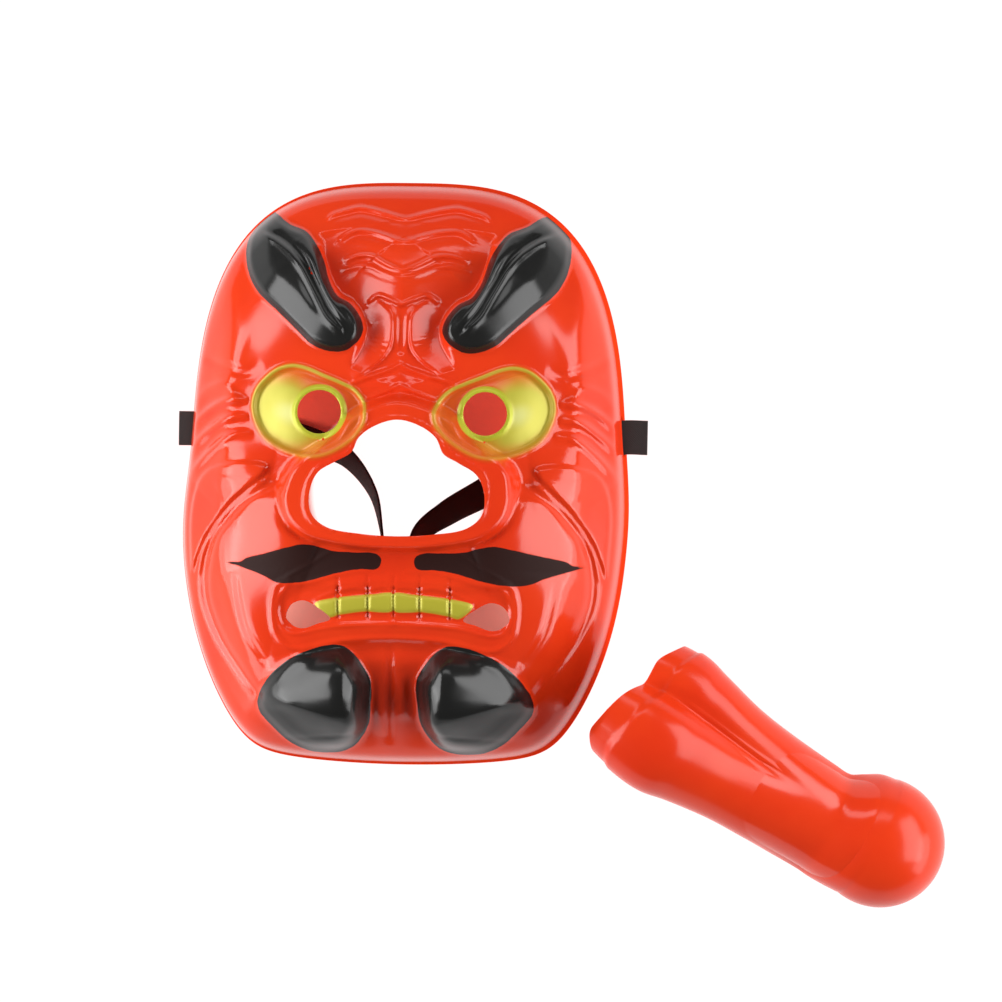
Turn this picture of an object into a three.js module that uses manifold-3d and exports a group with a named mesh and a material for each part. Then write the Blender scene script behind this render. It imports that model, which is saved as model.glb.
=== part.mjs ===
// Tengu party mask, moulded in thin red plastic, with its pull-off nose and its black elastic strap.
// Millimetres, +Z up. The mask lies on its rim with the face up and the forehead toward +Y,
// and the nose lies beside its chin, toward +X.
import * as THREE from 'three';
import Module from 'manifold-3d';

const wasm = await Module();
wasm.setup();

// Driving sizes
const MASK_HALF_WIDTH = 90.5;
const MASK_TOP = 119.2;
const MASK_CENTRE_Y = -11;
const MASK_DEPTH = 62;
const WALL = 1.2;
const COLLAR_RISE = 9;
const BROW_RISE = 6.5;
const CHIN_RISE = 6;
const EYE_X = 31.5;
const EYE_Y = 23;
const EYE_HOLE_RADIUS = 8.6;
const NOSE_BULB_RADIUS = 26;
const STRAP_WIDTH = 14;
const STRAP_THICK = 1.2;

// Where the middle of the mask's rim lies from the middle of the whole layout
const LAYOUT_X = -62.8;
const LAYOUT_Y = 25.8;

// Outline of the mask and its dome
const UPPER_REACH = MASK_TOP - MASK_CENTRE_Y;
const LOWER_REACH = 131;
const UPPER_POWER = 3.05;
const LOWER_POWER = 2.2;
const CHIN_REACH = 108.8;
const CHIN_BOW = 1 / 900;
const CHIN_CORNER = 30;
const CHEEK_SPREAD = 1.5;
const FACE_LEAN = -1.2;
const DOME_IN = 2.6;
const DOME_OUT = 2.2;

const clamp = (v) => Math.min(1, Math.max(0, v));
const smooth = (a, b, v) => {
  const t = clamp((v - a) / (b - a));
  return t * t * (3 - 2 * t);
};

// The face stands a little out of true: how far its middle lies to the side at each height
const lean = (y) => FACE_LEAN * smooth(10, -40, y);

// 0 at the middle of the mask and 1 on its rim
function gauge(x, y) {
  const side = (x - lean(y)) / (MASK_HALF_WIDTH - CHEEK_SPREAD * Math.tanh(y / 18));
  const rise = y - MASK_CENTRE_Y;
  const power = rise >= 0 ? UPPER_POWER : LOWER_POWER;
  const reach = rise >= 0 ? UPPER_REACH : LOWER_REACH;
  const oval = (Math.abs(side) ** power + Math.abs(rise / reach) ** power) ** (1 / power);
  if (rise >= 0) return oval;
  const chin = (-rise + Math.sqrt(rise * rise + 4 * CHIN_REACH * CHIN_BOW * x * x)) / (2 * CHIN_REACH);
  return (oval ** CHIN_CORNER + chin ** CHIN_CORNER) ** (1 / CHIN_CORNER);
}

// The carved features, given for the right half in (x, y) and mirrored to the left
const BROW = [[59, 106], [47, 99], [38, 92], [33, 84], [28, 72], [17, 59], [15, 51], [20, 46], [29, 46], [42, 56],
  [56, 71], [63, 83], [64, 94]];
const BROW_CREASE = [[60, 99], [48, 91], [40, 83], [34, 70], [25, 56]];
const FROWN_FOLD = [[12, 71], [9, 62], [7, 55], [9, 48], [14, 42], [21, 37]];
const CHEEK_FOLD = [[51, 0], [60, -6], [68, -14], [75, -22], [80, -31], [82, -44]];
const CHEEK_GROOVE = [[49, -7], [58, -10], [66, -17], [74, -28], [78, -41], [75, -62], [64, -79]];
const MOUSTACHE = [[5, -35], [10, -31], [28, -31], [36, -28], [46, -29], [58, -34], [70, -38], [56, -43], [43, -45],
  [28, -41], [8, -38]];
const MOUTH = [[0, -45], [20, -45], [38, -45], [46, -50], [47, -57], [43, -63], [33, -63], [19, -60], [0, -59]];
const CHIN = [[20, -68], [12, -77], [8, -90], [13, -104], [27, -111], [43, -105], [56, -92], [51, -82], [40, -73]];
const MOUTH_HOLE = [[44, -58], [42, -53], [37, -51], [32, -53], [26, -58], [31, -60], [37, -62], [41, -61]];
const NOSE_HOLE = [[0, 20], [9, 17.5], [15, 13], [18, 7], [24, 3.5], [31, -1], [34, -9], [33, -17], [27, -22],
  [14, -24.4], [0, -25.2]];

function curveThrough(points, closed, steps) {
  const path = new THREE.CatmullRomCurve3(points.map(([x, y]) => new THREE.Vector3(x, y, 0)), closed);
  return path.getPoints(steps);
}

function toSegments(line, x, y) {
  let best = 1e9;
  for (let i = 0; i + 1 < line.length; i++) {
    const ax = line[i].x;
    const ay = line[i].y;
    const dx = line[i + 1].x - ax;
    const dy = line[i + 1].y - ay;
    const t = clamp(((x - ax) * dx + (y - ay) * dy) / (dx * dx + dy * dy + 1e-9));
    best = Math.min(best, Math.hypot(x - ax - t * dx, y - ay - t * dy));
  }
  return best;
}

function isInside(line, x, y) {
  let inside = false;
  for (let i = 0, j = line.length - 1; i < line.length; j = i++) {
    const a = line[i];
    const b = line[j];
    if ((a.y > y) !== (b.y > y) && x < ((b.x - a.x) * (y - a.y)) / (b.y - a.y) + a.x) inside = !inside;
  }
  return inside;
}

// A rounded ridge or, with a negative height, a groove along a line
function ridge(points, width, height) {
  const line = curveThrough(points, false, 24);
  return (x, y) => height * Math.exp(-((toSegments(line, Math.abs(x), y) / width) ** 2));
}

// A raised island with a rounded shoulder
function island(points, height, shoulder) {
  const line = curveThrough(points, true, 48);
  return (x, y) => {
    const half = Math.abs(x);
    const away = toSegments(line, half, y) * (isInside(line, half, y) ? 1 : -1);
    return height * smooth(-0.35 * shoulder, shoulder, away);
  };
}

// A rounded swelling or hollow
function swelling(cx, cy, rx, ry, height) {
  return (x, y) => height * Math.exp(-(((Math.abs(x) - cx) / rx) ** 2) - ((y - cy) / ry) ** 2);
}

// How far the rim lies from the mask's centre in one direction
function rimReach(angle) {
  let reach = MASK_HALF_WIDTH;
  for (let i = 0; i < 12; i++) {
    reach /= gauge(Math.cos(angle) * reach, MASK_CENTRE_Y + Math.sin(angle) * reach);
  }
  return reach;
}

const HOLE_LINE = curveThrough([...NOSE_HOLE, ...NOSE_HOLE.slice(1, -1).reverse().map(([x, y]) => [-x, y])], true, 160);

// How far the nose hole reaches from the mask's centre in one direction
function holeReach(angle) {
  const dx = Math.cos(angle);
  const dy = Math.sin(angle);
  let reach = 0;
  for (let i = 0; i + 1 < HOLE_LINE.length; i++) {
    const a = HOLE_LINE[i];
    const b = HOLE_LINE[i + 1];
    const ay = a.y - MASK_CENTRE_Y;
    const ex = b.x - a.x;
    const ey = b.y - a.y;
    const across = dx * ey - dy * ex;
    if (Math.abs(across) < 1e-9) continue;
    const along = (a.x * ey - ay * ex) / across;
    const t = (a.x * dy - ay * dx) / across;
    if (t >= -1e-6 && t <= 1 + 1e-6 && along > reach) reach = along;
  }
  return reach;
}

// The short collar that the pull-off nose fits over
function collar(x, y) {
  const angle = Math.atan2(y - MASK_CENTRE_Y, x);
  const away = Math.hypot(x, y - MASK_CENTRE_Y) - holeReach(angle);
  const up = Math.max(0, Math.sin(angle));
  const down = Math.max(0, -Math.sin(angle));
  const foot = 13 - 4 * up - 7 * down;
  return COLLAR_RISE * (1 - smooth(-0.2, 1, away / foot));
}

const RELIEF = [
  collar,
  island(BROW, BROW_RISE, 8),
  ridge(BROW_CREASE, 4, -1.6),
  ridge(FROWN_FOLD, 5, 1.8),
  ridge([[0, 66], [0, 48]], 5, -0.8),
  swelling(38, 24, 27, 20, -5),
  swelling(38, 23, 17, 13, 6),
  ridge(CHEEK_FOLD, 6, 1.6),
  ridge(CHEEK_GROOVE, 6, -1.2),
  swelling(56, -34, 14, 22, 3),
  island(MOUSTACHE, 1.6, 5),
  island(MOUTH, -1.4, 6),
  swelling(0, -51, 30, 9, 2.4),
  ridge([[0, -63], [24, -65], [42, -66], [50, -57], [46, -46]], 5, 1.8),
  ridge([[0, -69], [30, -72]], 4, -1.8),
  island(CHIN, CHIN_RISE, 12),
  swelling(0, -92, 5, 16, 2),
];

function faceHeight(x, y) {
  const g = Math.min(1, gauge(x, y));
  const dome = MASK_DEPTH * (1 - g ** DOME_IN) ** (1 / DOME_OUT);
  const fade = 1 - smooth(0.9, 0.995, g);
  return dome + fade * RELIEF.reduce((sum, feature) => sum + feature(x - lean(y), y), 0);
}

// Closed body from two skins of the same grid. Its first rows are joined by a rim, and so are its last rows,
// unless tips are given, which close each skin there.
function bodyFromSkins(outer, inner, around, tips = []) {
  const points = [...outer.flat(), ...inner.flat()];
  const rows = outer.length;
  const offset = rows * around;
  const last = (rows - 1) * around;
  const tip = points.length;
  points.push(...tips);
  const faces = [];
  const quad = (a, b, c, d, turned) => faces.push(...(turned ? [a, b, d, b, c, d] : [a, b, c, a, c, d]));
  for (let i = 0; i < around; i++) {
    const k = (i + 1) % around;
    for (let j = 0; j + 1 < rows; j++) {
      const row = j * around;
      const next = row + around;
      const turned = outer[j][i].distanceTo(outer[j + 1][k]) > outer[j + 1][i].distanceTo(outer[j][k]);
      quad(row + i, next + i, next + k, row + k, turned);
      quad(offset + row + k, offset + next + k, offset + next + i, offset + row + i, turned);
    }
    quad(i, k, offset + k, offset + i);
    if (tips.length) {
      faces.push(last + i, tip, last + k);
      faces.push(offset + last + k, tip + 1, offset + last + i);
    } else {
      quad(last + k, last + i, offset + last + i, offset + last + k);
    }
  }
  return toManifold(points, faces);
}

function toManifold(points, faces) {
  const positions = new Float32Array(points.length * 3);
  points.forEach((p, i) => positions.set([p.x, p.y, p.z], i * 3));
  return new wasm.Manifold(new wasm.Mesh({ numProp: 3, vertProperties: positions, triVerts: new Uint32Array(faces) }));
}

// The outward direction at every point of a grid of rows that runs round
function gridNormals(rows, around) {
  return rows.map((row, j) => row.map((p, i) => {
    const before = rows[Math.max(0, j - 1)][i];
    const after = rows[Math.min(rows.length - 1, j + 1)][i];
    const left = row[(i + around - 1) % around];
    const right = row[(i + 1) % around];
    const down = after.clone().sub(before);
    const side = right.clone().sub(left);
    return down.cross(side).normalize();
  }));
}

// An upright prism through the shell, for a hole
function prism(outline, low, high) {
  const shape = new THREE.Shape(outline.map((p) => new THREE.Vector2(p.x, p.y)));
  const flat = THREE.ShapeUtils.isClockWise(shape.getPoints()) ? outline.slice().reverse() : outline;
  const ring = flat.slice(0, -1);
  const count = ring.length;
  const points = [...ring.map((p) => new THREE.Vector3(p.x, p.y, low)), ...ring.map((p) => new THREE.Vector3(p.x, p.y, high))];
  const caps = THREE.ShapeUtils.triangulateShape(ring.map((p) => new THREE.Vector2(p.x, p.y)), []);
  const faces = [];
  for (const [a, b, c] of caps) {
    faces.push(a, c, b);
    faces.push(count + a, count + b, count + c);
  }
  for (let i = 0; i < count; i++) {
    const k = (i + 1) % count;
    faces.push(i, k, count + k, i, count + k, count + i);
  }
  return toManifold(points, faces);
}

function box(cx, cy, cz, sx, sy, sz) {
  const corner = (x, y) => new THREE.Vector3(cx + (x * sx) / 2, cy + (y * sy) / 2, 0);
  const outline = [corner(-1, -1), corner(1, -1), corner(1, 1), corner(-1, 1), corner(-1, -1)];
  return prism(outline, cz - sz / 2, cz + sz / 2);
}

// Mask shell
const SHELL_COLUMNS = 76;
const SHELL_ROWS = [0, 0.05, 0.1, 0.16, 0.23, 0.3, 0.37, 0.44, 0.51, 0.58, 0.65, 0.72, 0.78, 0.83, 0.88, 0.92, 0.95,
  0.975, 0.99, 1];
const SLOT_Y = 16;
const SLOT_Z = 9;
const SLOT_LONG = STRAP_WIDTH + 2.5;
const SLOT_HIGH = 3.4;

function maskShell() {
  const outer = SHELL_ROWS.map((share) => {
    const row = [];
    for (let i = 0; i < SHELL_COLUMNS; i++) {
      const angle = (2 * Math.PI * i) / SHELL_COLUMNS;
      const dx = Math.cos(angle);
      const dy = Math.sin(angle);
      const from = holeReach(angle);
      const to = rimReach(angle);
      const reach = from + (to - from) * share;
      const x = dx * reach;
      const y = MASK_CENTRE_Y + dy * reach;
      row.push(new THREE.Vector3(x, y, share === 1 ? 0 : faceHeight(x, y)));
    }
    return row;
  });
  const normals = gridNormals(outer, SHELL_COLUMNS);
  const inner = outer.map((row, j) => row.map((p, i) => {
    const out = normals[j][i].clone();
    if (j === outer.length - 1) out.set(out.x, out.y, 0).normalize();
    if (j === 0) out.set(p.x, p.y - MASK_CENTRE_Y, 0.25 * Math.hypot(p.x, p.y - MASK_CENTRE_Y)).normalize().negate();
    const q = p.clone().addScaledVector(out, j === 0 ? WALL * -1 : -WALL);
    if (j === 0) q.set(p.x * 1.02, MASK_CENTRE_Y + (p.y - MASK_CENTRE_Y) * 1.02, p.z - WALL);
    if (j === outer.length - 1) q.z = 0;
    return q;
  }));
  let shell = bodyFromSkins(outer, inner, SHELL_COLUMNS);
  for (const side of [-1, 1]) {
    const pupil = [];
    for (let i = 0; i <= 28; i++) {
      const angle = (2 * Math.PI * i) / 28;
      pupil.push(new THREE.Vector3(side * EYE_X + EYE_HOLE_RADIUS * Math.cos(angle),
        EYE_Y + EYE_HOLE_RADIUS * Math.sin(angle), 0));
    }
    const corner = curveThrough(MOUTH_HOLE.map(([x, y]) => [side * x, y]), true, 24);
    shell = shell.subtract(prism(pupil, 30, 90));
    shell = shell.subtract(prism(corner, 30, 90));
    shell = shell.subtract(box(side * MASK_HALF_WIDTH, SLOT_Y, SLOT_Z, 20, SLOT_LONG, SLOT_HIGH));
  }
  return shell;
}

// Pull-off nose. Its own frame: t runs from the open base to the bulb, v toward the bridge, w across the wings.
const NOSE_ROWS = [-112.5, -105, -95, -84, -72, -60, -48, -37, -28, -22, -17, -12, -6];
const BULB_ROWS = 5;
const NOSE_COLUMNS = 32;
const NOSE_NECK = NOSE_ROWS[NOSE_ROWS.length - 1];
const NOSE_ROLL = -0.26;
const NOSE_AXIS = new THREE.Vector3(0.877, -0.48, 0).normalize();
const NOSE_BULB_AT = [193.1, -143.2];
const NOSE_TILT = 0.075;
const BASE_SLANT = [0.16, -0.31];
const FLAT_DEPTH = 0.6;
const BULB_CENTRE = new THREE.Vector3(0, -2, 0);

// Half the nose's breadth and the drift of its middle, both along t
const NOSE_HALF = [[-124, 25], [-114, 27.8], [-104, 29.4], [-95, 29.3], [-86, 27.4], [-68, 24.4], [-50, 23.1], [-30, 21.8], [-23, 21.7],
  [-18, 23.3], [-12, 25], [NOSE_NECK, 25.4]];
const NOSE_DRIFT = [[-122, 1], [-104, 0.6], [-86, -0.8], [-68, -3], [-50, -4.8], [-30, -5.7], [-23, -5.9], [-18, -4.7],
  [-12, -3], [NOSE_NECK, -2.3]];

// A smooth curve through a short table of [place, value]
function along(table, t) {
  let i = 0;
  while (i + 2 < table.length && t > table[i + 1][0]) i++;
  const slope = (k) => {
    const a = table[Math.max(0, k - 1)];
    const b = table[Math.min(table.length - 1, k + 1)];
    return (b[1] - a[1]) / (b[0] - a[0]);
  };
  const [t0, v0] = table[i];
  const [t1, v1] = table[i + 1];
  const s = clamp((t - t0) / (t1 - t0));
  const turn0 = slope(i) * (t1 - t0);
  const turn1 = slope(i + 1) * (t1 - t0);
  return v0 + s * turn0 + s * s * (3 * (v1 - v0) - 2 * turn0 - turn1) + s ** 3 * (2 * (v0 - v1) + turn0 + turn1);
}

// The base is three round lobes, the bridge and two wings, with a groove between them: [v, w, radius] of each
const NOSE_LOBES = [[11.5, 0, 17.5], [-6, 16, 20], [-6, -16, 20]];
const LOBE_HALF = 29.3;
const NOSE_GROOVE = 3;

function lobeReach(angle) {
  const dv = Math.sin(angle);
  const dw = Math.cos(angle);
  let sum = 0;
  for (const [v, w, radius] of NOSE_LOBES) {
    const facing = v * dv + w * dw;
    sum += (facing + Math.sqrt(radius * radius - v * v - w * w + facing * facing)) ** 10;
  }
  const groove = (at) => NOSE_GROOVE * Math.exp(-(((angle - at) / 0.2) ** 2));
  return sum ** 0.1 - groove(0.64) - groove(Math.PI - 0.64);
}

// One section: three lobes at the base, round at the bulb
function noseSection(t, angle) {
  const lobed = (1 - smooth(-104, -24, t)) / LOBE_HALF;
  const half = along(NOSE_HALF, t);
  const reach = half * (lobed * lobeReach(angle) + 1 - lobed * LOBE_HALF);
  return [reach * Math.sin(angle), reach * Math.cos(angle)];
}

function noseBody(flatT, angle) {
  const [v0, w0] = noseSection(flatT, angle);
  const share = clamp((flatT - NOSE_NECK) / (NOSE_ROWS[0] - NOSE_NECK));
  const t = flatT + share ** 2.5 * (BASE_SLANT[0] * v0 + BASE_SLANT[1] * w0);
  const [v, w] = noseSection(t, angle);
  return new THREE.Vector3(t, v + along(NOSE_DRIFT, t), w);
}

function noseBulb(turn, angle) {
  const reach = NOSE_BULB_RADIUS * Math.sin(turn);
  return new THREE.Vector3(NOSE_BULB_RADIUS * Math.cos(turn), BULB_CENTRE.y + Math.sin(angle) * reach,
    Math.cos(angle) * reach);
}

// From the nose's own frame to where it lies
function layNose(p) {
  const side = new THREE.Vector3(-NOSE_AXIS.y, NOSE_AXIS.x, 0);
  const v = p.y * Math.cos(NOSE_ROLL) + p.z * Math.sin(NOSE_ROLL);
  const w = -p.y * Math.sin(NOSE_ROLL) + p.z * Math.cos(NOSE_ROLL);
  const t = p.x * Math.cos(NOSE_TILT) + w * Math.sin(NOSE_TILT);
  const z = w * Math.cos(NOSE_TILT) - p.x * Math.sin(NOSE_TILT);
  return new THREE.Vector3(NOSE_BULB_AT[0] + NOSE_AXIS.x * t + side.x * v, NOSE_BULB_AT[1] + NOSE_AXIS.y * t + side.y * v, z);
}

function detachableNose() {
  const columns = NOSE_COLUMNS;
  const ring = (make) => Array.from({ length: columns }, (_, i) => make((2 * Math.PI * i) / columns));
  const outer = NOSE_ROWS.map((t) => ring((angle) => noseBody(t, angle)));
  const neckTurn = Math.acos(NOSE_NECK / NOSE_BULB_RADIUS);
  for (let j = 1; j <= BULB_ROWS; j++) {
    outer.push(ring((angle) => noseBulb(neckTurn * (1 - j / (BULB_ROWS + 0.5)), angle)));
  }
  const normals = gridNormals(outer, columns);
  const inner = outer.map((row, j) => row.map((p, i) => {
    const n = normals[j][i];
    if (j === 0) return p.clone().sub(new THREE.Vector3(0, WALL * n.y, WALL * n.z));
    if (j < NOSE_ROWS.length) return p.clone().addScaledVector(n, -WALL);
    return p.clone().sub(BULB_CENTRE).multiplyScalar(1 - WALL / NOSE_BULB_RADIUS).add(BULB_CENTRE);
  }));
  const laid = [outer, inner].map((skin) => skin.map((row) => row.map(layNose)));
  const tips = [0, WALL].map((depth) => layNose(new THREE.Vector3(NOSE_BULB_RADIUS - depth, BULB_CENTRE.y, 0)));
  let nose = bodyFromSkins(...laid, columns, tips);
  const floor = Math.min(...laid[0].flat().map((p) => p.z)) + FLAT_DEPTH;
  nose = nose.subtract(box(NOSE_BULB_AT[0] - 40, NOSE_BULB_AT[1] + 30, floor - 20, 400, 400, 40));
  return nose.translate([0, 0, -floor]);
}

// Elastic strap: points of its route and how far it is turned from flat, in degrees
const STRAP_ROUTE = [[-93.4, 17, 9, 0], [-87, 17, 9, 0], [-66, 17, 3, 8], [-39, 12, 4, 35], [-25, 6, 6.5, 56],
  [-14, -8, 7.4, 72], [-10, -24, 7.6, 84], [-8, -40, 7.6, 90], [-3, -47, 7.6, 90], [2, -42, 7.6, 84],
  [6, -25, 7.2, 60], [17, -16, 5.8, 45], [31, -8, 4.8, 34], [50, 3, 3, 16], [70, 12, 3, 6], [88, 15.5, 9, 0],
  [98, 15.5, 9, 0]];
const STRAP_STEPS = 56;

function strapFrames() {
  const path = new THREE.CatmullRomCurve3(STRAP_ROUTE.map(([x, y, z]) => new THREE.Vector3(x, y, z)), false, 'centripetal');
  const turns = new THREE.CatmullRomCurve3(STRAP_ROUTE.map((p, i) => new THREE.Vector3(i, p[3], 0)), false);
  const frames = [];
  for (let i = 0; i <= STRAP_STEPS; i++) {
    const s = i / STRAP_STEPS;
    const at = path.getPoint(s);
    const ahead = path.getTangent(s);
    const flat = new THREE.Vector3(ahead.x, ahead.y, 0).normalize();
    const level = new THREE.Vector3(-flat.y, flat.x, 0);
    const turn = THREE.MathUtils.degToRad(turns.getPoint(s).y);
    const across = level.multiplyScalar(Math.cos(turn)).add(new THREE.Vector3(0, 0, Math.sin(turn)));
    const thick = across.clone().cross(ahead).normalize();
    const low = (STRAP_WIDTH / 2) * Math.abs(across.z) + (STRAP_THICK / 2) * Math.abs(thick.z);
    at.z = Math.max(at.z, low + 0.05);
    frames.push({ at, across, thick });
  }
  return frames;
}

function elasticStrap() {
  const points = [];
  const faces = [];
  const frames = strapFrames();
  for (const { at, across, thick } of frames) {
    for (const [a, b] of [[-1, -1], [1, -1], [1, 1], [-1, 1]]) {
      points.push(at.clone().addScaledVector(across, (a * STRAP_WIDTH) / 2).addScaledVector(thick, (b * STRAP_THICK) / 2));
    }
  }
  const quad = (a, b, c, d) => faces.push(a, b, c, a, c, d);
  for (let i = 0; i < STRAP_STEPS; i++) {
    for (let k = 0; k < 4; k++) {
      const n = (k + 1) % 4;
      quad(4 * i + n, 4 * i + k, 4 * (i + 1) + k, 4 * (i + 1) + n);
    }
  }
  quad(0, 1, 2, 3);
  const end = 4 * STRAP_STEPS;
  quad(end + 3, end + 2, end + 1, end);
  let band = toManifold(points, faces);
  for (const [x, y, out] of [[-93, 17, 2.6], [95.6, 15.5, 8]]) {
    band = band.add(box(x, y, 9, out, STRAP_WIDTH + 1, 4.2));
  }
  return band;
}

function meshOf(body, name, colour, roughness) {
  const data = body.getMesh();
  const geometry = new THREE.BufferGeometry();
  const positions = new Float32Array(data.numVert * 3);
  for (let i = 0; i < data.numVert; i++) {
    positions[3 * i] = data.vertProperties[i * data.numProp] + LAYOUT_X;
    positions[3 * i + 1] = data.vertProperties[i * data.numProp + 1] + LAYOUT_Y;
    positions[3 * i + 2] = data.vertProperties[i * data.numProp + 2];
  }
  geometry.setAttribute('position', new THREE.BufferAttribute(positions, 3));
  geometry.setIndex(new THREE.BufferAttribute(new Uint32Array(data.triVerts), 1));
  geometry.computeVertexNormals();
  const mesh = new THREE.Mesh(geometry, new THREE.MeshStandardMaterial({ color: colour, roughness, metalness: 0 }));
  mesh.name = name;
  return mesh;
}

const mask = new THREE.Group();
mask.name = 'tengu_mask';
mask.add(meshOf(maskShell(), 'mask_shell', 0xd8321c, 0.25));
mask.add(meshOf(detachableNose(), 'detachable_nose', 0xd8321c, 0.25));
mask.add(meshOf(elasticStrap(), 'elastic_strap', 0x161616, 0.9));

export default mask;
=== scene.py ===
import math

import bpy
import numpy as np
from mathutils import Matrix, Vector
from mathutils.geometry import delaunay_2d_cdt


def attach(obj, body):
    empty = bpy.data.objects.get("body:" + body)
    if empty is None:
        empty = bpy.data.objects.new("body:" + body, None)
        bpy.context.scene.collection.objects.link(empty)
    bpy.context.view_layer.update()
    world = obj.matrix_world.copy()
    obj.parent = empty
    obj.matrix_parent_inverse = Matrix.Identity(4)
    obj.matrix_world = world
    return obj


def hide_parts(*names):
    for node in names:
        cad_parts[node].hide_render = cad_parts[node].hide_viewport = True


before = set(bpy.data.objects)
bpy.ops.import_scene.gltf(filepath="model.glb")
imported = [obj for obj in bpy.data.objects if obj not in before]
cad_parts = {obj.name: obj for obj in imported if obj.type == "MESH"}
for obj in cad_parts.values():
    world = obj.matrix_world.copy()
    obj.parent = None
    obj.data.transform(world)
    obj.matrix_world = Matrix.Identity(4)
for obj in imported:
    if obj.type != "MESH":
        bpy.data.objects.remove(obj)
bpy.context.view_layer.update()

# Sizes are in millimetres in the mask's own frame: the middle of its rim is the origin, +Y goes to the
# forehead, +X to the viewer's right and +Z out of the face. Everything is put into the row frame, in
# metres, when its mesh is made.
METRE = 0.001
LAYOUT = np.array([-62.8, 25.8, 0.0])

MASK_HALF_WIDTH = 90.5
MASK_TOP = 119.2
CENTRE_Y = -11.0
MASK_DEPTH = 62.0
WALL = 1.2
SLOPE_START = 0.78
SLOPE_BLEND = 0.04
SLOPE_FALL = 95.0
RIM_FALL = 640.0
SHOULDER = 0.2
PAINT_END = 0.98
COLLAR_RISE = 8.1
COLLAR_REACH = 14.5
COLLAR_SIDE = (0.58, 1.03)
COLLAR_LESS_ABOVE = 4
COLLAR_LESS_BELOW = 8
COLLAR_LIP = 0.8
BROW_RISE = 6.5
CHIN_RISE = 6.0
EYE_X = 31.5
EYE_Y = 23.0
EYE_HOLE_RADIUS = 8.6
LIP_WIDTH = 0.9
RIGHT_SHIFT = 2.0
RIGHT_SHIFT_BEGINS = (6, 24)
RIGHT_SHIFT_ENDS = (84, 62)
RIGHT_SHIFT_LEVELS = (-12, 4)
MOUSTACHE_SHIFT = 3.0
MOUSTACHE_SPREAD = 6.0
MOUSTACHE_RUN = (30, 76)
UPPER_REACH = MASK_TOP - CENTRE_Y
LOWER_REACH = 131.0
UPPER_POWER = 3.05
LOWER_POWER = 2.2
CHIN_REACH = 108.8
CHIN_BOW = 1 / 900
CHIN_CORNER = 30
CHEEK_SPREAD = 1.5
CHEEK_SPREAD_RUN = 18
FACE_LEAN = -1.2
FACE_LEAN_LEVELS = (10, -40)
DOME_IN = 2.6
DOME_OUT = 2.2


# Camera: nearly straight down on the face, as the photograph is taken

CAMERA_DISTANCE = 1200.0
CAMERA_YAW = math.radians(1.8)
CAMERA_ROLL = math.radians(0.8)
FRAME_PIXELS = 1002
FOCAL_PIXELS = 2920.0
RIM_CENTRE_PIXEL = (408.0, 473.0)
SENSOR = 36.0


def add_object(name, data):
    made = bpy.data.objects.new(name, data)
    bpy.context.scene.collection.objects.link(made)
    return made


def turn_axes(a, b, angle):
    """The two axes turned in their plane, the first one toward the second."""
    return a * math.cos(angle) + b * math.sin(angle), b * math.cos(angle) - a * math.sin(angle)


def make_camera():
    back = np.array([math.sin(CAMERA_YAW), 0.0, math.cos(CAMERA_YAW)])
    level = np.cross([0.0, 1.0, 0.0], back)
    level /= np.linalg.norm(level)
    rise = np.cross(back, level)
    right, up = turn_axes(level, rise, CAMERA_ROLL)
    middle = FRAME_PIXELS / 2
    across = (RIM_CENTRE_PIXEL[0] - middle) / FOCAL_PIXELS * CAMERA_DISTANCE
    above = (middle - RIM_CENTRE_PIXEL[1]) / FOCAL_PIXELS * CAMERA_DISTANCE
    at = (back * CAMERA_DISTANCE - right * across - up * above + LAYOUT) * METRE
    data = bpy.data.cameras.new("camera")
    data.sensor_width = SENSOR
    data.lens = FOCAL_PIXELS * SENSOR / FRAME_PIXELS
    data.clip_start = 0.05
    data.clip_end = 20
    camera = add_object("camera", data)
    turn = Matrix((right, up, back)).transposed().to_4x4()
    camera.matrix_world = Matrix.Translation(at) @ turn
    bpy.context.scene.camera = camera


make_camera()


# Curves, distances and meshes

def smooth(a, b, v):
    t = np.clip((v - a) / (b - a), 0, 1)
    return t * t * (3 - 2 * t)


def bump(v, width):
    return np.exp(-((v / width) ** 2))


def full_turn(count):
    return np.linspace(0, 2 * math.pi, count, endpoint=False)


def squarish(v, power):
    """A sine or cosine drawn toward -1 and 1, for a rounded rectangle."""
    return np.sign(v) * abs(v) ** power


def unit(vectors):
    return vectors / np.linalg.norm(vectors, axis=1)[:, None]


def through(points, closed=False, steps=8):
    """A centripetal Catmull-Rom curve through the points, in that many steps from each to the next."""
    p = np.array(points, float)
    if closed:
        p = np.vstack([p[-1], p, p[0], p[1]])
    else:
        p = np.vstack([2 * p[0] - p[1], p, 2 * p[-1] - p[-2]])
    made = []
    s = np.linspace(0, 1, steps, endpoint=False)[:, None]
    for i in range(1, len(p) - 2):
        before, here, ahead, after = p[i - 1:i + 3]
        pairs = zip(p[i - 1:i + 2], p[i:i + 3])
        d0, d1, d2 = [max(1e-4, np.linalg.norm(b - a) ** 0.5) for a, b in pairs]
        turn0 = ((here - before) / d0 - (ahead - before) / (d0 + d1) + (ahead - here) / d1) * d1
        turn1 = ((ahead - here) / d1 - (after - here) / (d1 + d2) + (after - ahead) / d2) * d1
        made.append(here + s * turn0 + s ** 2 * (3 * (ahead - here) - 2 * turn0 - turn1)
                    + s ** 3 * (2 * (here - ahead) + turn0 + turn1))
    return np.vstack(made + [p[1:2] if closed else p[-2:-1]])


def loop_of(points):
    """The curve through the points of an outline, without its last point, which is its first."""
    return through(points, True)[:-1]


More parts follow.
